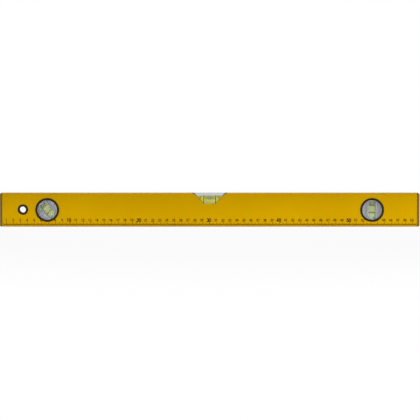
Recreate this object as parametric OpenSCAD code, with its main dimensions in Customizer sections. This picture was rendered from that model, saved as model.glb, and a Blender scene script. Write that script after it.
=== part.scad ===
// Box-section spirit level. A powder-coated aluminium profile carries one vial in a notch
// at the middle of its top edge, a plumb vial and a 45 degree vial in round capsules,
// a sleeved hang hole and two press-in end caps.
// X runs along the level, the scale face looks towards -Y and Z is up, in millimetres.
// The origin lies under the middle of the measuring face.

/* [Overall] */
// Length over both end caps
level_l = 600; // [400:10:1200]
// Height from the measuring face to the top edge
level_h = 48; // [44:0.5:70]
// Depth of the profile, front face to rear face
level_d = 21; // [19:0.5:30]

/* [Profile] */
// Thickness of the front and rear walls
side_wall = 1.5; // [1:0.1:2.2]
// Thickness of the top and bottom walls
edge_wall = 2.4; // [1.5:0.1:4]
// Outer radius of the long edges
corner_r = 2.5; // [0.5:0.1:3]
// Radius of the corners inside the box section
inner_r = 0.8; // [0.2:0.1:1.5]
// How far the inner rails stand out from the walls
rail_w = 1.6; // [1:0.1:2]
// Thickness of each inner rail
rail_t = 1.5; // [1:0.1:2.5]

/* [End caps] */
// Thickness of a cap outside the profile
cap_t = 4; // [3:0.5:6]
// Radius of a cap's outer edges
cap_edge_r = 2.5; // [0.5:0.1:2.9]
// How far a cap's outline stays inside the profile's outline
cap_step = 0.2; // [0.1:0.05:0.5]
// Length of the plug that is pressed into the profile
cap_plug_l = 14; // [8:1:16]
// Wall of the hollow plug
cap_plug_wall = 2; // [1.2:0.1:3]

/* [Hang hole] */
// Centre of the hang hole from the left end
hang_inset = 33.3; // [32:0.1:40]
// How far its centre lies above the middle of the level
hang_rise = 0.6; // [0:0.1:3]
// Bore of the hang hole at its mouth in the front face
hang_d = 8.6; // [7:0.1:10]
// How far the lip round that mouth stands into the sleeve
sleeve_lip = 1.3; // [0.5:0.1:2]
// Thickness of that lip
sleeve_lip_t = 2; // [1:0.1:4]
// Wall of the sleeve's barrel
sleeve_wall = 0.8; // [0.7:0.1:1.5]
// How far the sleeve's flange overlaps the profile
sleeve_rim = 0.9; // [0.6:0.1:1.5]

/* [Round vials] */
// Centre of each round vial from its end of the level
capsule_inset = 68; // [60:0.5:90]
// Lean of the angle vial from upright
angle_lean = 45; // [30:1:60]
// Diameter of the clear windows
window_d = 29.5; // [26:0.5:32]
// Thickness of the clear windows
window_t = 1.5; // [1:0.1:2]
// Wall of a bezel's barrel
barrel_wall = 0.9; // [0.7:0.1:1.5]
// How far a bezel's flange overlaps the profile
bezel_rim = 1.1; // [0.6:0.1:2]
// How far the inner lip of a bezel overlaps its window
lip_overlap = 0.6; // [0.2:0.1:1]
// Thickness of that lip
lip_t = 1; // [0.8:0.1:1.6]
// Rim of the carrier left over each end of its tube
carrier_rim = 1.4; // [1:0.1:4]
// How far the carrier's pocket flares out on each side of its tube
pocket_flare = 1.2; // [1:0.1:3]
// Width of the ring round a carrier's pockets
carrier_ring = 1.3; // [1:0.1:2.5]
// How far that ring slopes in to the floor of the side pockets
ring_slope = 1.6; // [0.5:0.1:3]
// Flat crest between the carrier's tube pocket and each side pocket
ridge_crest = 0.6; // [0.2:0.1:1]
// How far a side pocket's wall slopes out from that crest
ridge_slope = 2; // [0.5:0.1:3]
// Depth of the side pockets
side_pocket = 2.6; // [1:0.1:4]

/* [Centre vial] */
// Width of the notch at the top edge
notch_top_w = 45; // [38:0.5:58]
// Width of the notch at its floor
notch_floor_w = 14.5; // [10:0.5:20]
// Depth of the notch
notch_depth = 15.3; // [13:0.1:18]
// Bore of the centre tube at its middle
centre_bore_d = 9.4; // [8:0.1:10]
// Gap over the centre tube, under the top wall
tube_roof = 1.4; // [0.5:0.1:3]
// Length of the spirit chamber
centre_chamber_l = 40; // [34:1:50]
// Length of the bubble
centre_bubble_l = 14.5; // [8:0.5:18]
// Depth of the spirit under the bubble
under_bubble = 4.4; // [2:0.1:5]
// Distance between the two marker lines
centre_marks = 17; // [10:0.1:20]
// Thickness of the cradle's floor
cradle_floor = 2; // [1.5:0.1:3]
// Thickness of the cradle's end stops
cradle_stop = 1.5; // [1:0.1:3]
// How far the cradle's saddles reach above the vial's axis
saddle_snap = 1.5; // [0.5:0.1:2]

/* [Vial tubes] */
// Bore of a round vial's tube at its middle
end_bore_d = 7.6; // [6.5:0.1:8.4]
// How much a bore tapers in, per side, from its middle to its ends
barrel_drop = 0.2; // [0.1:0.05:0.3]
// Wall of every tube
tube_wall = 0.9; // [0.7:0.05:1.2]
// Thickness of a tube's closed end
closed_end = 1.5; // [1:0.1:2.5]
// Length of the plug in a tube's open end
plug_l = 3.5; // [2:0.1:4]
// Width of a marker line
mark_w = 1; // [0.3:0.05:1.2]
// Depth of a marker line's groove
mark_t = 0.25; // [0.1:0.05:0.4]
// Distance between the two marker lines of a round vial
end_marks = 10; // [7:0.1:12]
// Length of the bubble of a round vial
end_bubble_l = 5; // [3:0.1:7]
// Radius of that bubble's rounded ends
bubble_edge = 1.6; // [0.5:0.1:2]

/* [Fits] */
// Height of the flanges above the profile's faces
flange_t = 0.7; // [0.4:0.1:1.2]
// Chamfer on the flanges and lips
chamfer = 0.3; // [0.1:0.05:0.35]
// Gap of a pushed-in or bonded fit, per side
fit_gap = 0.1; // [0.05:0.05:0.2]
// Gap between a drilled hole and the barrel in it, per side
hole_gap = 0.15; // [0.05:0.05:0.3]
// Gap of a sliding fit, per side
slide_gap = 0.15; // [0.1:0.05:0.3]
// Gap between a tube's end and the barrel round it
end_gap = 0.3; // [0.1:0.1:0.6]
// Step of the notch cover below the faces round it
cover_step = 0.2; // [0.1:0.05:0.5]
// Film of spirit between a bubble and its tube
film = 0.2; // [0.15:0.05:0.3]
// Gap between the solids of the spirit and of what holds it
spirit_gap = 0.05; // [0.03:0.01:0.1]
// Gap below the centre tube, over the cradle's floor
tube_clear = 0.5; // [0.2:0.1:1]

/* [Hidden] */
$fn = 96;
// How far a cutter runs past the face it opens
overrun = 1;

half_d = level_d / 2;
inner_w = level_d - 2 * side_wall;
inner_h = level_h - 2 * edge_wall;
mid_z = level_h / 2;
profile_l = level_l - 2 * cap_t;
flange_face = half_d + flange_t;

hang_mouth_r = hang_d / 2;
sleeve_in_r = hang_mouth_r + sleeve_lip;
sleeve_r = sleeve_in_r + sleeve_wall;
hang_hole_r = sleeve_r + hole_gap;
hang_x = hang_inset - level_l / 2;
hang_z = mid_z + hang_rise;

window_r = window_d / 2;
barrel_in_r = window_r + fit_gap;
barrel_out_r = barrel_in_r + barrel_wall;
capsule_hole_r = barrel_out_r + hole_gap;
bezel_r = capsule_hole_r + bezel_rim;
lip_r = window_r - lip_overlap;
lip_face = flange_face - lip_t;
carrier_face = lip_face - window_t;
capsule_x = level_l / 2 - capsule_inset;

end_bore_r = end_bore_d / 2;
end_tube_r = end_bore_r + tube_wall;
tube_reach = sqrt(window_r ^ 2 - end_tube_r ^ 2);
end_tube_l = 2 * (tube_reach - end_gap);
end_chamber_l = end_tube_l - closed_end - plug_l;
end_chamber_z = (plug_l - closed_end) / 2;
end_bubble_r = end_bore_r - barrel_drop - film;
end_bubble_z = (end_chamber_l - end_bubble_l) / 2 - film;

notch_z = level_h - notch_depth;
notch_slope = (notch_top_w - notch_floor_w) / (2 * notch_depth);
centre_bore_r = centre_bore_d / 2;
centre_tube_r = centre_bore_r + tube_wall;
vial_z = level_h - edge_wall - tube_roof - centre_tube_r;
centre_bubble_top = centre_bore_r - barrel_drop - film;
centre_bubble_r = (centre_bubble_top + centre_bore_r - barrel_drop - under_bubble) / 2;
centre_bubble_lift = centre_bubble_top - centre_bubble_r;
cradle_top = vial_z - centre_tube_r - tube_clear;
cradle_z = cradle_top - cradle_floor;
saddle_top = vial_z + saddle_snap;
cradle_left = -centre_chamber_l / 2 - plug_l - fit_gap - cradle_stop;
cradle_right = centre_chamber_l / 2 + closed_end + fit_gap + cradle_stop;

// Half width of the notch at a height above the measuring face
function notch_half(z) = notch_floor_w / 2 + notch_slope * max(z - notch_z, 0);

// Places for the pieces

// A round capsule's own frame: its tube stands along Z and its windows look along Y
module at_plumb() {
  translate([capsule_x, 0, mid_z]) children();
}

module at_angle() {
  translate([-capsule_x, 0, mid_z]) rotate([0, -angle_lean, 0]) children();
}

// The frame of a round capsule's spirit chamber, whose middle is off the tube's middle
module in_end_tube() {
  translate([0, 0, end_chamber_z]) children();
}

// The frame of the centre chamber, with the tube's closed end to the right
module at_centre() {
  translate([0, 0, vial_z]) rotate([0, 90, 0]) children();
}

// A turned piece drawn with its axis up, turned to look out of the front or the rear face
module to_front() {
  rotate([90, 0, 0]) children();
}

module to_rear() {
  rotate([-90, 0, 0]) children();
}

// Shared outlines and shapes

// Rectangle about the origin with round corners
module round_rect(w, h, r) {
  difference() {
    square([w, h], center = true);
    for (sx = [-1, 1], sy = [-1, 1]) {
      scale([sx, sy]) translate([w / 2 - r, h / 2 - r]) difference() {
        square(r + overrun);
        circle(r = r);
      }
    }
  }
}

// Outline in the level's cross-section, extruded along X from the origin
module along_x(length) {
  rotate([90, 0, 90]) linear_extrude(height = length) children();
}

// Outline in the level's front view, extruded through its depth
module along_y(depth) {
  rotate([90, 0, 0]) linear_extrude(height = depth, center = true) children();
}

// Half outline of the chamber, which swells in two long tapers to its middle
module barrel_outline(length, middle_r) {
  polygon([
    [0, -length / 2],
    [middle_r - barrel_drop, -length / 2],
    [middle_r, 0],
    [middle_r - barrel_drop, length / 2],
    [0, length / 2]
  ]);
}

// Solid of revolution of a rounded rectangle: a bubble, or the hollow round one
module slug(r, length, edge) {
  rotate_extrude() intersection() {
    round_rect(2 * r, length, edge);
    translate([0, -length / 2]) square([r, length]);
  }
}

// Tube with a double-tapered chamber, a socket for its plug and grooves for its marker lines
module vial_tube(bore_r, chamber_l, marks) {
  tube_r = bore_r + tube_wall;
  foot = -chamber_l / 2 - plug_l;
  rotate_extrude() difference() {
    translate([0, foot]) square([tube_r, plug_l + chamber_l + closed_end]);
    barrel_outline(chamber_l, bore_r);
    translate([0, foot - overrun]) square([bore_r - barrel_drop, plug_l + overrun]);
    for (side = [-1, 1]) {
      translate([tube_r - mark_t, (side * marks - mark_w) / 2]) square([mark_t + overrun, mark_w]);
    }
  }
}

module vial_plug(bore_r, chamber_l) {
  translate([0, 0, -chamber_l / 2 - plug_l]) {
    cylinder(h = plug_l, r = bore_r - barrel_drop - spirit_gap);
  }
}

// Two ink lines that fill the tube's grooves
module vial_markers(bore_r, marks) {
  tube_r = bore_r + tube_wall;
  for (side = [-1, 1]) {
    translate([0, 0, side * marks / 2]) difference() {
      cylinder(h = mark_w, r = tube_r, center = true);
      cylinder(h = mark_w + overrun, r = tube_r - mark_t + spirit_gap, center = true);
    }
  }
}

// The whole filling of a chamber, before room is made for its bubble
module chamber_fill(bore_r, chamber_l) {
  rotate_extrude() barrel_outline(chamber_l - 2 * spirit_gap, bore_r - spirit_gap);
}

// Round vials

// Half of a capsule's case: a flange on the profile, a barrel through it and a lip over the window
module bezel() {
  color("#1c1b1a") rotate_extrude() polygon([
    [barrel_in_r, 0],
    [barrel_out_r, 0],
    [barrel_out_r, half_d],
    [bezel_r, half_d],
    [bezel_r, flange_face - chamfer],
    [bezel_r - chamfer, flange_face],
    [lip_r + chamfer, flange_face],
    [lip_r, flange_face - chamfer],
    [lip_r, lip_face],
    [barrel_in_r, lip_face]
  ]);
}

module window() {
  color("#dfe8ea", 0.35) translate([0, 0, carrier_face]) cylinder(h = window_t, r = window_r);
}

// Disc that holds the tube across the capsule. Its front and its rear each have a flared pocket over
// the tube and a side pocket with sloping walls on either side of it, inside a plain ring
module carrier() {
  bed_r = end_tube_r + fit_gap;
  pocket_l = 2 * (tube_reach - carrier_rim);
  mouth_r = bed_r + pocket_flare;
  flare_y = carrier_face - pocket_flare;
  crest_x = mouth_r + ridge_crest;
  side_y = carrier_face - side_pocket;
  side_outline = [
    [crest_x, carrier_face],
    [crest_x + ridge_slope, side_y],
    [window_d, side_y],
    [window_d, carrier_face + overrun],
    [crest_x, carrier_face + overrun]
  ];
  color("#c9c9c6") difference() {
    along_y(2 * carrier_face) circle(r = window_r);
    cylinder(h = 2 * window_d, r = bed_r, center = true);
    in_carrier_ring() linear_extrude(height = pocket_l, center = true) polygon([
      [-bed_r, -flare_y],
      [-mouth_r, -carrier_face],
      [-mouth_r, -carrier_face - overrun],
      [mouth_r, -carrier_face - overrun],
      [mouth_r, -carrier_face],
      [bed_r, -flare_y],
      [bed_r, flare_y],
      [mouth_r, carrier_face],
      [mouth_r, carrier_face + overrun],
      [-mouth_r, carrier_face + overrun],
      [-mouth_r, carrier_face],
      [-bed_r, flare_y]
    ]);
    for (sx = [-1, 1], sy = [-1, 1]) {
      in_sloped_ring() linear_extrude(height = window_d, center = true) {
        polygon([for (point = side_outline) [sx * point.x, sy * point.y]]);
      }
    }
  }
}

// A cutter for the carrier, kept inside the carrier's ring
module in_carrier_ring() {
  intersection() {
    along_y(2 * window_d) circle(r = window_r - carrier_ring);
    children();
  }
}

// A cutter for the side pockets, kept inside a ring that slopes in to their floors
module in_sloped_ring() {
  ring_r = window_r - carrier_ring;
  inner_r = ring_r - ring_slope * (side_pocket + overrun) / side_pocket;
  inner_y = carrier_face - side_pocket - overrun;
  intersection() {
    to_rear() rotate_extrude() polygon([
      [0, -carrier_face - overrun],
      [ring_r, -carrier_face - overrun],
      [ring_r, -carrier_face],
      [inner_r, -inner_y],
      [inner_r, inner_y],
      [ring_r, carrier_face],
      [ring_r, carrier_face + overrun],
      [0, carrier_face + overrun]
    ]);
    children();
  }
}

module end_tube() {
  color("#e4ecdf", 0.4) in_end_tube() vial_tube(end_bore_r, end_chamber_l, end_marks);
}

module end_plug() {
  color("#e9e9e2") in_end_tube() vial_plug(end_bore_r, end_chamber_l);
}

module end_markers() {
  color("#16181a") in_end_tube() vial_markers(end_bore_r, end_marks);
}

// Spirit that stands below the bubble at the top of the tube
module end_spirit() {
  spirit_top = end_bubble_z - end_bubble_l / 2 - film;
  color("#b9cc3c", 0.6) in_end_tube() difference() {
    chamber_fill(end_bore_r, end_chamber_l);
    translate([0, 0, spirit_top]) cylinder(h = end_chamber_l, r = end_tube_r);
  }
}

module end_bubble() {
  color("#f4f8e6", 0.5) in_end_tube() translate([0, 0, end_bubble_z]) {
    slug(end_bubble_r, end_bubble_l, bubble_edge);
  }
}

// Profile and end caps

module section() {
  difference() {
    round_rect(level_d, level_h, corner_r);
    round_rect(inner_w, inner_h, inner_r);
  }
  // Two rails on each wall, rooted in it, make a groove for the cradle's floor
  rooted_w = rail_w + side_wall / 2;
  rail_y = inner_w / 2 - rail_w + rooted_w / 2;
  for (side = [-1, 1], foot = [cradle_z - slide_gap - rail_t, cradle_top + slide_gap]) {
    translate([side * rail_y, foot + rail_t / 2 - mid_z]) square([rooted_w, rail_t], center = true);
  }
}

module notch_outline() {
  polygon([
    [-notch_floor_w / 2, notch_z],
    [notch_floor_w / 2, notch_z],
    [notch_half(level_h + overrun), level_h + overrun],
    [-notch_half(level_h + overrun), level_h + overrun]
  ]);
}

module profile() {
  color("#cd9d04") difference() {
    translate([-profile_l / 2, 0, mid_z]) along_x(profile_l) section();
    along_y(level_d + overrun) notch_outline();
    for (side = [-1, 1]) {
      translate([side * capsule_x, 0, mid_z]) along_y(level_d + overrun) circle(r = capsule_hole_r);
    }
    translate([hang_x, 0, hang_z]) along_y(level_d + overrun) circle(r = hang_hole_r);
  }
}

// Cap for the right end: a rounded plate outside and a hollow plug inside the profile
module end_cap() {
  plate_d = level_d - 2 * cap_step;
  plate_h = level_h - 2 * cap_step;
  plug_d = inner_w - 2 * (rail_w + slide_gap);
  plug_h = inner_h - 2 * slide_gap;
  color("#6d5526") translate([profile_l / 2, 0, mid_z]) {
    intersection() {
      along_x(cap_t) round_rect(plate_d, plate_h, corner_r);
      along_y(level_d) round_rect(2 * cap_t, plate_h, cap_edge_r);
      linear_extrude(height = level_h, center = true) round_rect(2 * cap_t, plate_d, cap_edge_r);
    }
    translate([-cap_plug_l, 0, 0]) along_x(cap_plug_l) difference() {
      square([plug_d, plug_h], center = true);
      square([plug_d - 2 * cap_plug_wall, plug_h - 2 * cap_plug_wall], center = true);
    }
  }
}

module end_cap_right() {
  end_cap();
}

module end_cap_left() {
  mirror([1, 0, 0]) end_cap();
}

// Hang hole

// Half of the sleeve that lines the hang hole: a barrel, a flange on the profile and a mouth,
// which a lip makes narrower than the barrel in the front half
module hang_sleeve(mouth_r) {
  rim_r = hang_hole_r + sleeve_rim;
  color("#1c1b1a") rotate_extrude() difference() {
    polygon([
      [mouth_r, 0],
      [sleeve_r, 0],
      [sleeve_r, half_d],
      [rim_r, half_d],
      [rim_r, flange_face - chamfer],
      [rim_r - chamfer, flange_face],
      [mouth_r, flange_face]
    ]);
    translate([0, -overrun]) square([sleeve_in_r, flange_face - sleeve_lip_t + overrun]);
  }
}

module hang_sleeve_front() {
  translate([hang_x, 0, hang_z]) to_front() hang_sleeve(hang_mouth_r);
}

module hang_sleeve_rear() {
  translate([hang_x, 0, hang_z]) to_rear() hang_sleeve(sleeve_in_r);
}

// Centre vial

// Clear block that fills the notch and straddles the tube
module centre_cover() {
  foot = max(notch_z, cradle_top) + fit_gap;
  top = level_h - cover_step;
  channel_r = centre_tube_r + slide_gap;
  color("#dfe8ea", 0.35) difference() {
    along_y(level_d - 2 * cover_step) polygon([
      [-notch_half(foot) + fit_gap, foot],
      [notch_half(foot) - fit_gap, foot],
      [notch_half(top) - fit_gap, top],
      [-notch_half(top) + fit_gap, top]
    ]);
    translate([-notch_top_w, 0, vial_z]) along_x(2 * notch_top_w) {
      circle(r = channel_r);
      translate([-channel_r, -vial_z]) square([2 * channel_r, vial_z]);
    }
  }
}

// Cradle that slides on the rails: a floor, and a saddle with an end stop for each tube end
module centre_cradle() {
  saddle_in = notch_half(saddle_top) + slide_gap;
  floor_w = inner_w - 2 * slide_gap;
  saddle_w = floor_w - 2 * rail_w;
  color("#f1f1ec") difference() {
    union() {
      translate([cradle_left, -floor_w / 2, cradle_z]) {
        cube([cradle_right - cradle_left, floor_w, cradle_floor]);
      }
      translate([cradle_left, -saddle_w / 2, cradle_z]) {
        cube([-saddle_in - cradle_left, saddle_w, saddle_top - cradle_z]);
      }
      translate([saddle_in, -saddle_w / 2, cradle_z]) {
        cube([cradle_right - saddle_in, saddle_w, saddle_top - cradle_z]);
      }
    }
    translate([cradle_left + cradle_stop, 0, vial_z]) rotate([0, 90, 0]) {
      cylinder(h = cradle_right - cradle_left - 2 * cradle_stop, r = centre_tube_r + fit_gap);
    }
  }
}

module centre_tube() {
  color("#e4ecdf", 0.4) at_centre() vial_tube(centre_bore_r, centre_chamber_l, centre_marks);
}

module centre_plug() {
  color("#e9e9e2") at_centre() vial_plug(centre_bore_r, centre_chamber_l);
}

module centre_markers() {
  color("#16181a") at_centre() vial_markers(centre_bore_r, centre_marks);
}

// Spirit with a dent in its top where the bubble rests
module centre_spirit() {
  dent_r = centre_bubble_r + film / 2;
  dent_l = centre_bubble_l + film;
  color("#b9cc3c", 0.6) difference() {
    at_centre() chamber_fill(centre_bore_r, centre_chamber_l);
    translate([0, 0, vial_z + centre_bubble_lift]) {
      rotate([0, 90, 0]) slug(dent_r, dent_l, dent_r);
      linear_extrude(height = centre_tube_r) round_rect(dent_l, 2 * dent_r, dent_r);
    }
  }
}

module centre_bubble() {
  color("#f4f8e6", 0.5) translate([0, 0, vial_z + centre_bubble_lift]) rotate([0, 90, 0]) {
    slug(centre_bubble_r, centre_bubble_l, centre_bubble_r);
  }
}

// Plumb vial, right

module plumb_bezel_front() {
  at_plumb() to_front() bezel();
}

module plumb_bezel_rear() {
  at_plumb() to_rear() bezel();
}

module plumb_window_front() {
  at_plumb() to_front() window();
}

module plumb_window_rear() {
  at_plumb() to_rear() window();
}

module plumb_carrier() {
  at_plumb() carrier();
}

module plumb_tube() {
  at_plumb() end_tube();
}

module plumb_plug() {
  at_plumb() end_plug();
}

module plumb_markers() {
  at_plumb() end_markers();
}

module plumb_spirit() {
  at_plumb() end_spirit();
}

module plumb_bubble() {
  at_plumb() end_bubble();
}

// Angle vial, left

module angle_bezel_front() {
  at_angle() to_front() bezel();
}

module angle_bezel_rear() {
  at_angle() to_rear() bezel();
}

module angle_window_front() {
  at_angle() to_front() window();
}

module angle_window_rear() {
  at_angle() to_rear() window();
}

module angle_carrier() {
  at_angle() carrier();
}

module angle_tube() {
  at_angle() end_tube();
}

module angle_plug() {
  at_angle() end_plug();
}

module angle_markers() {
  at_angle() end_markers();
}

module angle_spirit() {
  at_angle() end_spirit();
}

module angle_bubble() {
  at_angle() end_bubble();
}

profile();
end_cap_left();
end_cap_right();
hang_sleeve_front();
hang_sleeve_rear();
centre_cover();
centre_cradle();
centre_tube();
centre_plug();
centre_markers();
centre_spirit();
centre_bubble();
plumb_bezel_front();
plumb_bezel_rear();
plumb_window_front();
plumb_window_rear();
plumb_carrier();
plumb_tube();
plumb_plug();
plumb_markers();
plumb_spirit();
plumb_bubble();
angle_bezel_front();
angle_bezel_rear();
angle_window_front();
angle_window_rear();
angle_carrier();
angle_tube();
angle_plug();
angle_markers();
angle_spirit();
angle_bubble();
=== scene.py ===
# Looks of a box-section spirit level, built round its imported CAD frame: the powder-coated profile with
# its printed scale, the end caps, the hang sleeve, the centre vial, the two round vials, then the studio.
# Metres; X along the level, the scale face towards -Y, Z up, origin under the middle of the level.
import math
import bpy
import numpy as np
from mathutils import Matrix, Vector


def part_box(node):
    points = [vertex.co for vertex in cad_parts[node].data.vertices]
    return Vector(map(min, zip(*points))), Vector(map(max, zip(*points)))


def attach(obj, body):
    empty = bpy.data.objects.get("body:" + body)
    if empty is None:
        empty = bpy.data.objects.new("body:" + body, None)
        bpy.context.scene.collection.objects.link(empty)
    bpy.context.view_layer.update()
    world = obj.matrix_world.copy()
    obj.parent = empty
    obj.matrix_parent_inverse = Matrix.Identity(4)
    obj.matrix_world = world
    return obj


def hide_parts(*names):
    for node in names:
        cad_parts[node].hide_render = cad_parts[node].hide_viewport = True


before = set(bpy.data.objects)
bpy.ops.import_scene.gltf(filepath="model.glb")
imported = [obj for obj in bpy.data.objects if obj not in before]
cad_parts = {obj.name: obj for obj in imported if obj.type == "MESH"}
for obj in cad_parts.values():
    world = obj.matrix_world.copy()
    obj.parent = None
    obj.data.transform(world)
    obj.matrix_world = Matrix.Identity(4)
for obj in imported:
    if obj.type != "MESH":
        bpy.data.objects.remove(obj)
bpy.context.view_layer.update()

# Profile: an extruded aluminium box section, drilled for the round vials and the hang hole and notched
# at the middle of its top edge, then sprayed with yellow powder and baked.
MM = 0.001


def linear(colour):
    """sRGB hex to linear RGBA: each channel over 255, then the inverse of the sRGB curve."""
    srgb = np.array([int(colour[k:k + 2], 16) for k in (1, 3, 5)]) / 255
    rgb = np.where(srgb <= 0.04045, srgb / 12.92, ((srgb + 0.055) / 1.055) ** 2.4)
    return (*rgb.tolist(), 1.0)


def new_material(name):
    """An empty node material and its tree."""
    material = bpy.data.materials.new(name)
    material.use_nodes = True
    material.node_tree.nodes.clear()
    return material, material.node_tree


def add_node(tree, kind, inputs, **settings):
    """Adds a node with its settings; an input given as (node, output) is linked, any other is set."""
    node = tree.nodes.new(kind)
    for name, value in settings.items():
        setattr(node, name, value)
    for socket, value in inputs.items():
        if isinstance(value, tuple) and isinstance(value[0], bpy.types.Node):
            tree.links.new(value[0].outputs[value[1]], node.inputs[socket])
        else:
            node.inputs[socket].default_value = value
    return node


def set_ramp(ramp, *stops):
    """Gives a colour ramp its stops, each a position and an sRGB colour."""
    elements = ramp.color_ramp.elements
    while len(elements) < len(stops):
        elements.new(1.0)
    for element, (position, colour) in zip(elements, stops):
        element.position = position
        element.color = linear(colour)


def dress(material, *nodes):
    """Puts one material into every slot of the named CAD nodes."""
    for name in nodes:
        for material_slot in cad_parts[name].material_slots:
            material_slot.material = material


# Yellow powder coat, sprayed and baked: a saturated yellow with a satin sheen. The film flows into
# orange peel, which breaks up reflections, and its thickness drifts a little along the level. Along the
# slopes of the notch, milled through the coat, a thin dark line of painted shade stands for the shaded
# gap beside the cover; it broadens to a dark patch at the top corners.
PEEL_SIZE = 2.4 * MM  # real peel is about 1 mm: coarser here, so that it shows at 1.4 mm a pixel
DRIFT_SIZE = 70 * MM
NOTCH_FLOOR = 32.7 * MM
NOTCH_HALF = 7.25 * MM  # half its width at the floor
NOTCH_SPREAD = 0.997  # how much wider each half gets for each unit up
NOTCH_SHADE_W = 0.6 * MM
CORNER_W = 2.6 * MM  # width of the painted shade at the top; it broadens between the next two heights
CORNER_FROM = 46.6 * MM
CORNER_TO = 47.6 * MM
coat, tree = new_material("yellow_powder_coat")
place = add_node(tree, "ShaderNodeTexCoord", {})
drift = add_node(tree, "ShaderNodeTexNoise", {
    "Vector": (place, "Object"), "Scale": 1 / DRIFT_SIZE, "Detail": 2.0})
peel = add_node(tree, "ShaderNodeTexNoise", {
    "Vector": (place, "Object"), "Scale": 1 / PEEL_SIZE, "Detail": 1.0})
shade = add_node(tree, "ShaderNodeValToRGB", {"Fac": (drift, "Fac")})
set_ramp(shade, (0.3, "#c79a00"), (0.7, "#cea000"))
axes = add_node(tree, "ShaderNodeSeparateXYZ", {"Vector": (place, "Object")})
aside = add_node(tree, "ShaderNodeMath", {0: (axes, "X")}, operation="ABSOLUTE")
slope = add_node(tree, "ShaderNodeMath", {
    0: (axes, "Z"), 1: NOTCH_SPREAD, 2: NOTCH_HALF - NOTCH_SPREAD * NOTCH_FLOOR},
    operation="MULTIPLY_ADD")
from_edge = add_node(tree, "ShaderNodeMath", {
    0: (aside, "Value"), 1: (slope, "Value")}, operation="SUBTRACT")
reach = add_node(tree, "ShaderNodeMapRange", {
    "Value": (axes, "Z"), "From Min": CORNER_FROM, "From Max": CORNER_TO,
    "To Min": NOTCH_SHADE_W, "To Max": CORNER_W})
near = add_node(tree, "ShaderNodeMath", {
    0: (from_edge, "Value"), 1: (reach, "Result")}, operation="LESS_THAN")
above = add_node(tree, "ShaderNodeMath", {
    0: (axes, "Z"), 1: NOTCH_FLOOR}, operation="GREATER_THAN")
# Mask of the painted shade: a strip beside the notch's slopes, wider near its top corners
notch_shade_mask = add_node(tree, "ShaderNodeMath", {
    0: (near, "Value"), 1: (above, "Value")}, operation="MULTIPLY")
# The painted shade's dark colour is mixed in over the coat
hue = add_node(tree, "ShaderNodeMix", {
    "Factor": (notch_shade_mask, "Value"), "A": (shade, "Color"), "B": linear("#2c220c")}, data_type="RGBA")
sheen = add_node(tree, "ShaderNodeMapRange", {
    "Value": (peel, "Fac"), "To Min": 0.36, "To Max": 0.5})
relief = add_node(tree, "ShaderNodeBump", {
    "Height": (peel, "Fac"), "Strength": 0.25, "Distance": 0.08 * MM})
bsdf = add_node(tree, "ShaderNodeBsdfPrincipled", {
    "Base Color": (hue, "Result"), "Roughness": (sheen, "Result"), "Normal": (relief, "Normal"),
    "Specular IOR Level": 0.35, "Specular Tint": linear("#ffbe00")})
add_node(tree, "ShaderNodeOutputMaterial", {"Surface": (bsdf, "BSDF")})
dress(coat, "profile")

# Printed scale: ink pad-printed on the lower edge of the front face, with a tick for each millimetre,
# longer ones at 5 and 10, a small number for each centimetre and a large one for each tenth.
FACE_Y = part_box("profile")[0].y
EDGE_R = 2.5 * MM
INK_T = 0.03 * MM
ZERO_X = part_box("end_cap_left")[0].x


def arc(x, z, rx, rz, start, end, points):
    """Points of an elliptic arc about (x, z), from one angle to another in degrees."""
    turn = np.radians(np.linspace(start, end, points))
    return np.stack([x + rx * np.cos(turn), z + rz * np.sin(turn)], 1)


def pen_line(path, width, closed=False):
    """A flat pen carried along a path in the face: every point moves half the pen's width to either
    side, along the mean normal of its two segments, on the face and one film of ink above it, and
    follows the face round the profile's lower edge."""
    ahead = np.roll(path, -1, 0) - path
    ahead /= np.linalg.norm(ahead, axis=1)[:, None]
    behind = np.roll(ahead, 1, 0)
    if not closed:
        ahead[-1] = behind[-1]
        behind[0] = ahead[0]
    mean = ahead + behind
    mean /= np.linalg.norm(mean, axis=1)[:, None]
    reach = width / 2 / np.sum(mean * ahead, 1)
    side = np.stack([-mean[:, 1], mean[:, 0]], 1) * reach[:, None]
    flat = np.stack([path + side, path - side, path - side, path + side], 1)
    under = np.clip(EDGE_R - flat[..., 1], 0, EDGE_R)
    depth = FACE_Y + EDGE_R - np.sqrt(EDGE_R ** 2 - under ** 2) - np.array([INK_T, INK_T, 0, 0])
    corners = np.stack([flat[..., 0], depth, flat[..., 1]], 2).reshape(-1, 3)
    rings = np.arange(len(corners)).reshape(-1, 4)
    after = np.roll(rings, -1, 0)
    turned_on = np.roll(rings, -1, 1), np.roll(after, -1, 1)
    quads = np.stack([turned_on[0], turned_on[1], after, rings], 2)
    if closed:
        return corners, quads.reshape(-1, 4)
    ends = np.stack([rings[0, ::-1], rings[-1]])
    return corners, np.concatenate([quads[:-1].reshape(-1, 4), ends])


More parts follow.
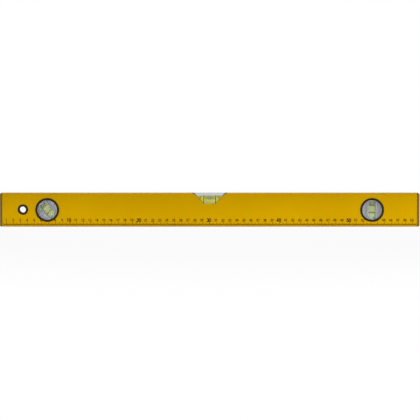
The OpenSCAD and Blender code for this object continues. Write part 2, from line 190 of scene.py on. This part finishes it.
# Centre lines of the digits, each 1 high and DIGIT_W wide before it is condensed
DIGIT_W = 0.6
DIGIT_LINES = {
    "0": [(arc(0.3, 0.5, 0.3, 0.5, 0, 336, 15), True)],
    "1": [(np.array([[0.08, 0.76], [0.36, 1.0], [0.36, 0.0]]), False)],
    "2": [(np.concatenate([arc(0.3, 0.7, 0.29, 0.3, 165, -35, 9), [[0.0, 0.0], [0.6, 0.0]]]), False)],
    "3": [(np.concatenate([arc(0.28, 0.75, 0.26, 0.25, 155, -70, 8),
                           arc(0.28, 0.26, 0.31, 0.26, 70, -155, 9)]), False)],
    "4": [(np.array([[0.44, 0.0], [0.44, 1.0], [0.0, 0.28], [0.62, 0.28]]), False)],
    "5": [(np.concatenate([[[0.55, 1.0], [0.1, 1.0], [0.05, 0.52]],
                           arc(0.28, 0.32, 0.31, 0.32, 118, -150, 11)]), False)],
    "6": [(arc(0.3, 0.31, 0.29, 0.31, 0, 335, 13), True),
          (arc(0.56, 0.33, 0.55, 0.67, 96, 172, 7), False)],
    "7": [(np.array([[0.0, 1.0], [0.6, 1.0], [0.22, 0.0]]), False)],
    "8": [(arc(0.3, 0.76, 0.24, 0.24, 0, 330, 12), True),
          (arc(0.3, 0.27, 0.3, 0.27, 0, 335, 13), True)],
    "9": [(arc(0.3, 0.69, 0.29, 0.31, 0, 335, 13), True),
          (arc(0.04, 0.67, 0.55, 0.67, 276, 352, 7), False)],
}
CONDENSED = np.array([0.84, 1.0])
DIGIT_STEP = 0.72


def number_lines(value, x, z, height, pen):
    """Pen lines of a number whose middle lies at (x, z) on the face."""
    text = str(value)
    start = x - (DIGIT_W * CONDENSED[0] + DIGIT_STEP * (len(text) - 1)) / 2 * height
    foot = np.array([start, z - height / 2])
    return [
        pen_line(foot + height * (line * CONDENSED + [k * DIGIT_STEP, 0]), pen, closed)
        for k, digit in enumerate(text)
        for line, closed in DIGIT_LINES[digit]
    ]


def join_parts(parts):
    """One list of vertices and one of quads out of several, each part's numbers after the last one's."""
    starts = np.cumsum([0] + [len(corners) for corners, quads in parts[:-1]])
    corners = np.concatenate([corners for corners, quads in parts])
    return corners, np.concatenate([quads + start for (corners, quads), start in zip(parts, starts)])


def new_piece(name, corners, faces, material):
    """A mesh object at the origin out of vertices and faces in the level's frame."""
    mesh = bpy.data.meshes.new(name)
    mesh.from_pydata(corners.tolist(), [], [list(face) for face in faces])
    mesh.materials.append(material)
    piece = bpy.data.objects.new(name, mesh)
    bpy.context.scene.collection.objects.link(piece)
    return piece


# Pad-printing ink: a dense brown-black film, dull beside the coat, a little starved here and there.
INK_PATCH = 1.5 * MM
ink, tree = new_material("pad_printing_ink")
place = add_node(tree, "ShaderNodeTexCoord", {})
patch = add_node(tree, "ShaderNodeTexNoise", {"Vector": (place, "Object"), "Scale": 1 / INK_PATCH})
shade = add_node(tree, "ShaderNodeValToRGB", {"Fac": (patch, "Fac")})
set_ramp(shade, (0.35, "#221603"), (0.75, "#382504"))
sheen = add_node(tree, "ShaderNodeMapRange", {
    "Value": (patch, "Fac"), "To Min": 0.5, "To Max": 0.7})
bsdf = add_node(tree, "ShaderNodeBsdfPrincipled", {
    "Base Color": (shade, "Color"), "Roughness": (sheen, "Result"), "Specular IOR Level": 0.08})
add_node(tree, "ShaderNodeOutputMaterial", {"Surface": (bsdf, "BSDF")})

CENTIMETRE = 10 * MM
FIRST_TICK = 5  # in millimetres from the left end
LAST_TICK = 595
TICK_FOOT = 2.4 * MM
TICK_TOPS = {1: 4.2 * MM, 5: 5.2 * MM, 10: 6.2 * MM}
TICK_PEN = 0.6 * MM  # real ones are about 0.3 mm: bolder here, so that they show at 1.4 mm a pixel
NUMBER_Z = 9.4 * MM
NUMBER_H = 3.3 * MM
NUMBER_PEN = 0.72 * MM
NUMBER_SHIFT = 0.6 * MM  # to the left of its tick, for each digit
TENTH_H = 4.6 * MM
TENTH_PEN = 1.15 * MM
LAST_NUMBER = 59
UNDER_BEZELS = (7, 53)
parts = []
for tick in range(FIRST_TICK, LAST_TICK + 1):
    step = max(size for size in TICK_TOPS if tick % size == 0)
    line = np.array([[ZERO_X + tick * MM, TICK_FOOT], [ZERO_X + tick * MM, TICK_TOPS[step]]])
    parts.append(pen_line(line, TICK_PEN))
for number in range(1, LAST_NUMBER + 1):
    if number in UNDER_BEZELS:
        continue
    height, pen = (TENTH_H, TENTH_PEN) if number % 10 == 0 else (NUMBER_H, NUMBER_PEN)
    number_x = ZERO_X + number * CENTIMETRE - NUMBER_SHIFT * len(str(number))
    parts += number_lines(number, number_x, NUMBER_Z, height, pen)
scale_print = new_piece("scale_print", *join_parts(parts), ink)
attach(scale_print, "level")

# End caps: hollow plugs with a rounded plate outside, injection moulded in olive-brown plastic and
# pressed into both ends of the profile.
# Polypropylene off a spark-eroded mould: matt, with a fine grain and soft, uneven highlights.
CAP_GRAIN = 1.2 * MM  # real grain is about 0.3 mm: coarser here, so that it shows
cap_plastic, tree = new_material("grained_polypropylene")
place = add_node(tree, "ShaderNodeTexCoord", {})
grain = add_node(tree, "ShaderNodeTexNoise", {
    "Vector": (place, "Object"), "Scale": 1 / CAP_GRAIN, "Detail": 3.0})
shade = add_node(tree, "ShaderNodeValToRGB", {"Fac": (grain, "Fac")})
set_ramp(shade, (0.3, "#6c5114"), (0.7, "#7c5f1c"))
sheen = add_node(tree, "ShaderNodeMapRange", {
    "Value": (grain, "Fac"), "To Min": 0.5, "To Max": 0.65})
relief = add_node(tree, "ShaderNodeBump", {
    "Height": (grain, "Fac"), "Strength": 0.4, "Distance": 0.1 * MM})
bsdf = add_node(tree, "ShaderNodeBsdfPrincipled", {
    "Base Color": (shade, "Color"), "Roughness": (sheen, "Result"), "Normal": (relief, "Normal"),
    "Specular IOR Level": 0.15})
add_node(tree, "ShaderNodeOutputMaterial", {"Surface": (bsdf, "BSDF")})
dress(cap_plastic, "end_cap_left", "end_cap_right")

# Hang sleeve: two flanged barrels of black ABS, injection moulded and pushed into the hang hole from both
# faces until their flanges lie on the coat.
# Black ABS, moulded: nearly black with a satin skin, greyer where handling has dulled it.
ABS_GRAIN = 1.0 * MM  # real grain is about 0.2 mm: coarser here, so that it shows
black_abs, tree = new_material("black_satin_abs")
place = add_node(tree, "ShaderNodeTexCoord", {})
grain = add_node(tree, "ShaderNodeTexNoise", {
    "Vector": (place, "Object"), "Scale": 1 / ABS_GRAIN, "Detail": 3.0})
shade = add_node(tree, "ShaderNodeValToRGB", {"Fac": (grain, "Fac")})
set_ramp(shade, (0.35, "#1a1408"), (0.75, "#281f10"))
sheen = add_node(tree, "ShaderNodeMapRange", {
    "Value": (grain, "Fac"), "To Min": 0.36, "To Max": 0.5})
relief = add_node(tree, "ShaderNodeBump", {
    "Height": (grain, "Fac"), "Strength": 0.2, "Distance": 0.05 * MM})
bsdf = add_node(tree, "ShaderNodeBsdfPrincipled", {
    "Base Color": (shade, "Color"), "Roughness": (sheen, "Result"), "Normal": (relief, "Normal"),
    "Specular IOR Level": 0.12})
add_node(tree, "ShaderNodeOutputMaterial", {"Surface": (bsdf, "BSDF")})
dress(black_abs, "hang_sleeve_front", "hang_sleeve_rear")

# Cradle and plugs: white ABS. The cradle slides on the profile's inner rails and holds the centre tube;
# a plug closes the open end of each tube.
# White ABS, moulded: a bright, slightly warm white with a satin skin and faint flow marks.
FLOW_SIZE = 8 * MM
white_abs, tree = new_material("white_abs")
place = add_node(tree, "ShaderNodeTexCoord", {})
flow = add_node(tree, "ShaderNodeTexNoise", {
    "Vector": (place, "Object"), "Scale": 1 / FLOW_SIZE, "Detail": 2.0, "Distortion": 0.6})
shade = add_node(tree, "ShaderNodeValToRGB", {"Fac": (flow, "Fac")})
set_ramp(shade, (0.3, "#e6e6df"), (0.7, "#f1f1ec"))
sheen = add_node(tree, "ShaderNodeMapRange", {
    "Value": (flow, "Fac"), "To Min": 0.35, "To Max": 0.45})
bsdf = add_node(tree, "ShaderNodeBsdfPrincipled", {
    "Base Color": (shade, "Color"), "Roughness": (sheen, "Result")})
add_node(tree, "ShaderNodeOutputMaterial", {"Surface": (bsdf, "BSDF")})
dress(white_abs, "centre_cradle", "centre_plug", "plumb_plug", "angle_plug")

# Tubes: acrylic, moulded with a barrel-shaped bore that the filling below stands for, closed at one end,
# with two grooves for the marker lines. Each is cemented across its carrier or laid in the cradle.
ACRYLIC_IOR = 1.49
ALONG_X = Matrix.Rotation(math.radians(90), 4, "Y")
LEANING = Matrix.Rotation(math.radians(-45), 4, "Y")


def middle(node):
    """Middle of a CAD node's box."""
    low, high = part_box(node)
    return (low + high) / 2


PLUMB_AT = Matrix.Translation(middle("plumb_tube"))
ANGLE_AT = Matrix.Translation(middle("angle_tube")) @ LEANING
CENTRE_AT = Matrix.Translation((0, 0, middle("centre_tube").z)) @ ALONG_X


def turned(radius, along, place, steps=64):
    """Surface of revolution: at each station the circle of that radius about the piece's own Z axis,
    with a point in the middle of both end circles, put in place by a matrix."""
    turn = np.linspace(0, 2 * np.pi, steps, endpoint=False)
    rings = np.stack([
        np.outer(radius, np.cos(turn)),
        np.outer(radius, np.sin(turn)),
        np.repeat(along[:, None], steps, 1)], 2)
    poles = np.array([[0, 0, along[0]], [0, 0, along[-1]]])
    corners = np.concatenate([rings.reshape(-1, 3), poles])
    number = np.arange(len(radius) * steps).reshape(-1, steps)
    beside = np.roll(number, -1, 1)
    sides = np.stack([number[:-1], beside[:-1], beside[1:], number[1:]], 2).reshape(-1, 4)
    foot = np.stack([beside[0], number[0], np.full(steps, number.size)], 1)
    head = np.stack([number[-1], beside[-1], np.full(steps, number.size + 1)], 1)
    world = np.array(place)
    return corners @ world[:3, :3].T + world[:3, 3], sides.tolist() + foot.tolist() + head.tolist()


def smooth(piece, crease=40):
    """Shades a piece smooth, with sharp edges where faces meet at more than the crease angle."""
    piece.data.shade_smooth()
    piece.data.set_sharp_from_angle(angle=math.radians(crease))
    return piece


# Acrylic for vials: clear with a breath of green, glossy, faintly hazed by its mould.
HAZE_SIZE = 6 * MM
vial_acrylic, tree = new_material("vial_acrylic")
place = add_node(tree, "ShaderNodeTexCoord", {})
haze = add_node(tree, "ShaderNodeTexNoise", {"Vector": (place, "Object"), "Scale": 1 / HAZE_SIZE})
shade = add_node(tree, "ShaderNodeValToRGB", {"Fac": (haze, "Fac")})
set_ramp(shade, (0.3, "#e6efdf"), (0.7, "#eef5e8"))
sheen = add_node(tree, "ShaderNodeMapRange", {
    "Value": (haze, "Fac"), "To Min": 0.05, "To Max": 0.1})
bsdf = add_node(tree, "ShaderNodeBsdfPrincipled", {
    "Base Color": (shade, "Color"), "Roughness": (sheen, "Result"), "IOR": ACRYLIC_IOR,
    "Transmission Weight": 1.0})
add_node(tree, "ShaderNodeOutputMaterial", {"Surface": (bsdf, "BSDF")})

# Sizes of the vials in mm. Each row of VIALS gives a vial's place; its tube's radius, foot, head and two
# marker lines; and its chamber's radius, foot and head.
END_EDGE = 0.3
HALF_GROOVE = 0.53
GROOVE_T = 0.27
GROOVE_STATIONS = [3, 4, 7, 8]
VIALS = {
    "centre": (CENTRE_AT, 5.6, -23.5, 21.5, (-8.5, 8.5), 4.42, -19.95, 19.95),
    "plumb": (PLUMB_AT, 4.7, -13.68, 13.68, (-4, 6), 3.36, -10.13, 12.13),
    "angle": (ANGLE_AT, 4.7, -13.68, 13.68, (-4, 6), 3.36, -10.13, 12.13),
}
for vial, (at, tube_r, foot, head, marks, _, _, _) in VIALS.items():
    along = [foot, foot + END_EDGE]
    for mark in marks:
        along += [mark - HALF_GROOVE, mark - HALF_GROOVE, mark + HALF_GROOVE, mark + HALF_GROOVE]
    along = np.array(along + [head - END_EDGE, head])
    radius = np.full(len(along), tube_r)
    radius[GROOVE_STATIONS] = tube_r - GROOVE_T
    radius[[0, -1]] = tube_r - END_EDGE
    shape = turned(radius * MM, along * MM, at)
    tube = smooth(new_piece(vial + "_vial_tube", *shape, vial_acrylic))
    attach(tube, "level")
    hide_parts(vial + "_tube")

# Marker lines: two rings of dark ink, wiped into the grooves round each tube, between which the bubble
# lies when the level is true.
dress(ink, "centre_markers", "plumb_markers", "angle_markers")

# Fillings: dyed spirit in the bore of each tube, and the bubble of air left in it, which always finds
# the highest place. The bubble slides, and the spirit flows round it.
# Spirit with a fluorescent dye: clear yellow-green. Seen through the tube, which bends light as it
# does itself, it seems to fill the tube's whole width.
# Each row of the table below gives two tints of the dye, and the colour and level of a painted glow, an
# emission that stands in for light falling on the spirit. The glow is stronger in the centre vial, which
# is thicker and where the notch lets more light in.
DYE_SIZE = 5 * MM
SPIRIT_TAPER = 0.16  # in mm, from the middle of the chamber to its ends
FILLING_STATIONS = 17
DYES_AND_PAINTED_GLOWS = {
    "centre": ("#c4c44e", "#cfce5e", "#d9ca2e", 0.35),
    "plumb": ("#b8c652", "#c3d062", "#cfd036", 0.08),
    "angle": ("#b8c652", "#c3d062", "#cfd036", 0.08),
}
for vial, (at, _, _, _, _, chamber_r, foot, head) in VIALS.items():
    thin, thick, glow, painted_glow_level = DYES_AND_PAINTED_GLOWS[vial]
    spirit, tree = new_material("dyed_spirit_" + vial)
    place = add_node(tree, "ShaderNodeTexCoord", {})
    cloud = add_node(tree, "ShaderNodeTexNoise", {"Vector": (place, "Object"), "Scale": 1 / DYE_SIZE})
    shade = add_node(tree, "ShaderNodeValToRGB", {"Fac": (cloud, "Fac")})
    set_ramp(shade, (0.3, thin), (0.7, thick))
    # Its emission is painted light: a glow standing for the light that falls on the spirit
    bsdf = add_node(tree, "ShaderNodeBsdfPrincipled", {
        "Base Color": (shade, "Color"), "Roughness": 0.0, "IOR": 1.0, "Transmission Weight": 1.0,
        "Emission Color": linear(glow), "Emission Strength": painted_glow_level})
    add_node(tree, "ShaderNodeOutputMaterial", {"Surface": (bsdf, "BSDF")})
    stations = np.linspace(-1, 1, FILLING_STATIONS)
    along = (foot + head) / 2 + (head - foot) / 2 * stations
    radius = chamber_r - SPIRIT_TAPER * stations ** 2
    shape = turned(radius * MM, along * MM, at)
    filling = smooth(new_piece(vial + "_spirit_filling", *shape, spirit))
    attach(filling, "level")
    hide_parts(vial + "_spirit")

# Air in the spirit, drawn as a pale grey body. Its dark green foot is painted shade, standing for the
# light that the spirit's skin bends away where it curves under the bubble. The body grows paler towards
# its head, a painted highlight.
air, tree = new_material("air_bubble")
place = add_node(tree, "ShaderNodeAttribute", {}, attribute_name="height")
shade = add_node(tree, "ShaderNodeValToRGB", {"Fac": (place, "Fac")})
# painted shade at the foot, painted highlight rising towards the head
set_ramp(shade, (0.2, "#2a381b"), (0.34, "#b8beb0"), (1.0, "#dde2da"))
bsdf = add_node(tree, "ShaderNodeBsdfPrincipled", {
    "Base Color": (shade, "Color"), "Roughness": 0.15, "Alpha": 0.9})
add_node(tree, "ShaderNodeOutputMaterial", {"Surface": (bsdf, "BSDF")})


def new_bubble(vial, radius, along, at, up):
    """A turned bubble whose vertices know their height in it, from 0 at its foot to 1 at its head."""
    corners, faces = turned(radius, along, at)
    bubble = smooth(new_piece(vial + "_air_bubble", corners, faces, air))
    height = corners @ np.array(up)
    height = np.interp(height, (height.min(), height.max()), (0, 1))
    bubble.data.attributes.new("height", "FLOAT", "POINT").data.foreach_set("value", height)
    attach(bubble, vial + "_air")
    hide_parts(vial + "_bubble")


# Profile of a bubble: its radius follows a power of the cosine, a low one for a blunt end, and its height
# the sine. The round vials' bubbles have a rounder foot than head.
BUBBLE_R = 3.42 * MM
BUBBLE_HALF = 2.5 * MM
FOOT_POWER = 0.5
HEAD_POWER = 0.3
BUBBLE_UP = middle("plumb_bubble").z - middle("plumb_tube").z
BUBBLE_STATIONS = 25
turn = np.linspace(-0.5, 0.5, BUBBLE_STATIONS)[1:-1] * np.pi
for vial, at, up in (("plumb", PLUMB_AT, (0, 0, 1)), ("angle", ANGLE_AT, (-1, 0, 1))):
    blunt = np.where(turn < 0, np.cos(turn) ** FOOT_POWER, np.cos(turn) ** HEAD_POWER)
    radius = BUBBLE_R * blunt
    new_bubble(vial, radius, BUBBLE_UP + BUBBLE_HALF * np.sin(turn), at, up)
# The centre bubble lies under the roof of its bore, flattened to nearly the bore's width.
FLAT_R = 2.2 * MM
FLAT_HALF = 7.25 * MM
FLAT_POWER = 0.6
FLATTENED = Matrix.Diagonal((1, 1.8, 1, 1))  # wider than high
LIFT_AT = Matrix.Translation(middle("centre_bubble")) @ FLATTENED @ ALONG_X
new_bubble("centre", FLAT_R * np.cos(turn) ** FLAT_POWER, FLAT_HALF * np.sin(turn), LIFT_AT, (0, 0, 1))

# Notch cover and windows: clear acrylic, the cover machined to fill the notch and bonded in it, the
# windows snapped behind the lips of the bezels.
# Acrylic sheet of the windows: clear, cool and glossy, and only veils what lies behind it, hazed here and
# there by wiping.
clear_acrylic, tree = new_material("clear_acrylic")
place = add_node(tree, "ShaderNodeTexCoord", {})
haze = add_node(tree, "ShaderNodeTexNoise", {"Vector": (place, "Object"), "Scale": 1 / HAZE_SIZE})
shade = add_node(tree, "ShaderNodeValToRGB", {"Fac": (haze, "Fac")})
set_ramp(shade, (0.3, "#a9b1b8"), (0.7, "#b9c1c6"))
sheen = add_node(tree, "ShaderNodeMapRange", {
    "Value": (haze, "Fac"), "To Min": 0.04, "To Max": 0.1})
bsdf = add_node(tree, "ShaderNodeBsdfPrincipled", {
    "Base Color": (shade, "Color"), "Roughness": (sheen, "Result"), "IOR": ACRYLIC_IOR,
    "Alpha": 0.14})
add_node(tree, "ShaderNodeOutputMaterial", {"Surface": (bsdf, "BSDF")})
dress(clear_acrylic, "plumb_window_front", "plumb_window_rear",
      "angle_window_front", "angle_window_rear")

# Acrylic block of the cover: glossy and clear at its faces, and greyer the deeper one looks into it. Its
# top face, nearly level with the profile's, is dulled by wear.
WORN_FROM = 47.65 * MM
WORN_TO = 47.75 * MM
CLEAR_VEIL = 0.16
WORN_VEIL = 0.36
WORN_ROUGHNESS = 0.9
block_acrylic, tree = new_material("block_acrylic")
place = add_node(tree, "ShaderNodeTexCoord", {})
haze = add_node(tree, "ShaderNodeTexNoise", {"Vector": (place, "Object"), "Scale": 1 / HAZE_SIZE})
shade = add_node(tree, "ShaderNodeValToRGB", {"Fac": (haze, "Fac")})
set_ramp(shade, (0.3, "#6c757a"), (0.7, "#7c858a"))
axes = add_node(tree, "ShaderNodeSeparateXYZ", {"Vector": (place, "Object")})
veil = add_node(tree, "ShaderNodeMapRange", {
    "Value": (axes, "Z"), "From Min": WORN_FROM, "From Max": WORN_TO,
    "To Min": CLEAR_VEIL, "To Max": WORN_VEIL})
dull = add_node(tree, "ShaderNodeMapRange", {
    "Value": (axes, "Z"), "From Min": WORN_FROM, "From Max": WORN_TO,
    "To Min": 0.0, "To Max": WORN_ROUGHNESS})
sheen = add_node(tree, "ShaderNodeMapRange", {
    "Value": (haze, "Fac"), "To Min": 0.04, "To Max": 0.1})
worn = add_node(tree, "ShaderNodeMath", {
    0: (sheen, "Result"), 1: (dull, "Result")}, operation="MAXIMUM")
bsdf = add_node(tree, "ShaderNodeBsdfPrincipled", {
    "Base Color": (shade, "Color"), "Roughness": (worn, "Value"), "IOR": ACRYLIC_IOR,
    "Alpha": (veil, "Result")})
depth = add_node(tree, "ShaderNodeVolumeAbsorption", {"Color": linear("#1c2226"), "Density": 14.5})
add_node(tree, "ShaderNodeOutputMaterial", {"Surface": (bsdf, "BSDF"), "Volume": (depth, "Volume")})
dress(block_acrylic, "centre_cover")

# Carriers: discs of pale grey ABS, injection moulded, that hold the tubes of the round vials across their
# capsules.
# Grey ABS, moulded: light and neutral, with a satin skin and faint flow marks.
grey_abs, tree = new_material("grey_abs")
place = add_node(tree, "ShaderNodeTexCoord", {})
flow = add_node(tree, "ShaderNodeTexNoise", {
    "Vector": (place, "Object"), "Scale": 1 / FLOW_SIZE, "Detail": 2.0, "Distortion": 0.6})
shade = add_node(tree, "ShaderNodeValToRGB", {"Fac": (flow, "Fac")})
set_ramp(shade, (0.3, "#afaeaf"), (0.7, "#bab9ba"))
sheen = add_node(tree, "ShaderNodeMapRange", {
    "Value": (flow, "Fac"), "To Min": 0.35, "To Max": 0.5})
bsdf = add_node(tree, "ShaderNodeBsdfPrincipled", {
    "Base Color": (shade, "Color"), "Roughness": (sheen, "Result")})
add_node(tree, "ShaderNodeOutputMaterial", {"Surface": (bsdf, "BSDF")})
dress(grey_abs, "plumb_carrier", "angle_carrier")

# Bezels: rings of the same black ABS, injection moulded, with a barrel through the profile's wall and a
# lip over the window. One is pressed into each face at both round vials.
dress(black_abs, "plumb_bezel_front", "plumb_bezel_rear", "angle_bezel_front", "angle_bezel_rear")

# Studio: a pale floor and white surroundings. Soft lamps stand in pairs, low off the ends, in front and
# behind, with a large one overhead and a narrow strip along the floor before the scale.
scene = bpy.context.scene
scene.view_settings.view_transform = "Standard"

FLOOR_HALF = 8.0
SHADE_FROM = 0.2  # metres from the middle, where the floor's faint shade starts to fade
SHADE_TO = 1.2


def sees_white(tree):
    """1 for a ray that comes from the camera, off gloss or through glass, and 0 for any other."""
    path = add_node(tree, "ShaderNodeLightPath", {})
    direct = add_node(tree, "ShaderNodeMath", {
        0: (path, "Is Camera Ray"), 1: (path, "Is Glossy Ray")}, operation="ADD")
    return add_node(tree, "ShaderNodeMath", {
        0: (direct, "Value"), 1: (path, "Is Transmission Ray")}, operation="ADD", use_clamp=True)


# Matt floor paint: pale grey to light, and nearly white to the eye, with a faint shade round the level.
floor_paint, tree = new_material("pale_floor")
seen = sees_white(tree)
place = add_node(tree, "ShaderNodeTexCoord", {})
away = add_node(tree, "ShaderNodeVectorMath", {0: (place, "Object")}, operation="LENGTH")
white = add_node(tree, "ShaderNodeMapRange", {
    "Value": (away, "Value"), "From Min": SHADE_FROM, "From Max": SHADE_TO,
    "To Min": 0.93, "To Max": 1.0},
    interpolation_type="SMOOTHSTEP")
share = add_node(tree, "ShaderNodeMath", {0: (seen, "Value"), 1: (white, "Result")},
                 operation="MULTIPLY")
matt = add_node(tree, "ShaderNodeBsdfDiffuse", {"Color": linear("#dcdcda")})
glow = add_node(tree, "ShaderNodeEmission", {"Color": linear("#ffffff"), "Strength": 1.0})
both = add_node(tree, "ShaderNodeMixShader", {
    0: (share, "Value"), 1: (matt, "BSDF"), 2: (glow, "Emission")})
add_node(tree, "ShaderNodeOutputMaterial", {"Surface": (both, "Shader")})
corners = FLOOR_HALF * np.array([[-1, -1, 0], [1, -1, 0], [1, 1, 0], [-1, 1, 0]])
floor = new_piece("floor", corners, [[0, 1, 2, 3]], floor_paint)

FILL_LIGHT = 0.14
world = bpy.data.worlds.new("white_studio")
scene.world = world
world.use_nodes = True
tree = world.node_tree
tree.nodes.clear()
seen = sees_white(tree)
sky_level = add_node(tree, "ShaderNodeMapRange", {
    "Value": (seen, "Value"), "To Min": FILL_LIGHT, "To Max": 1.0})
sky = add_node(tree, "ShaderNodeBackground", {
    "Color": linear("#ffffff"), "Strength": (sky_level, "Result")})
add_node(tree, "ShaderNodeOutputWorld", {"Surface": (sky, "Background")})


def area_lamp(name, at, aim, size, watts, spread=180):
    """A rectangular soft lamp at a point, turned to face another; a grid narrows its spread."""
    lamp = bpy.data.lights.new(name, "AREA")
    lamp.shape = "RECTANGLE"
    lamp.size, lamp.size_y = size
    lamp.energy = watts
    lamp.spread = math.radians(spread)
    holder = bpy.data.objects.new(name, lamp)
    holder.location = at
    holder.rotation_euler = (Vector(aim) - Vector(at)).to_track_quat("-Z", "Y").to_euler()
    holder.visible_camera = False
    scene.collection.objects.link(holder)


area_lamp("left_softbox", (-0.62, -0.26, 0.04), (-0.24, 0, 0.02), (0.16, 0.12), 0.138, 60)
area_lamp("right_softbox", (0.62, -0.26, 0.06), (0.24, 0, 0.02), (0.16, 0.12), 0.155, 60)
area_lamp("front_left_softbox", (-0.24, -0.6, 0.35), (0, 0, 0.02), (0.3, 0.3), 0.1165, 60)
area_lamp("front_right_softbox", (0.24, -0.6, 0.35), (0, 0, 0.02), (0.3, 0.3), 0.1165, 60)
area_lamp("rear_left_softbox", (-0.6, 0.45, 0.2), (0.05, 0, 0.02), (0.2, 0.2), 0.32, 60)
area_lamp("rear_right_softbox", (0.6, 0.45, 0.2), (-0.05, 0, 0.02), (0.2, 0.2), 0.32, 60)
area_lamp("overhead_softbox", (0, 0.1, 1.3), (0, 0, 0.02), (1.2, 0.8), 4.2)
area_lamp("floor_strip", (0, -0.052, 0.010), (0, 0, 0.014), (0.9, 0.012), 0.06)

# Camera: 3.5 degrees above the level, opposite its middle, with the level as wide as the picture.
PICTURE_W = 599.7 * MM
SENSOR_W = 36  # in mm
CAMERA_D = 4.0
TILT = math.radians(3.5)
aim = Vector((0.5 * MM, FACE_Y, 24.0 * MM))
camera = bpy.data.objects.new("camera", bpy.data.cameras.new("camera"))
camera.data.sensor_width = SENSOR_W
camera.data.lens = SENSOR_W * CAMERA_D / PICTURE_W
camera.location = aim + CAMERA_D * Vector((0, -math.cos(TILT), math.sin(TILT)))
camera.rotation_euler = (aim - camera.location).to_track_quat("-Z", "Y").to_euler()
scene.collection.objects.link(camera)
scene.camera = camera
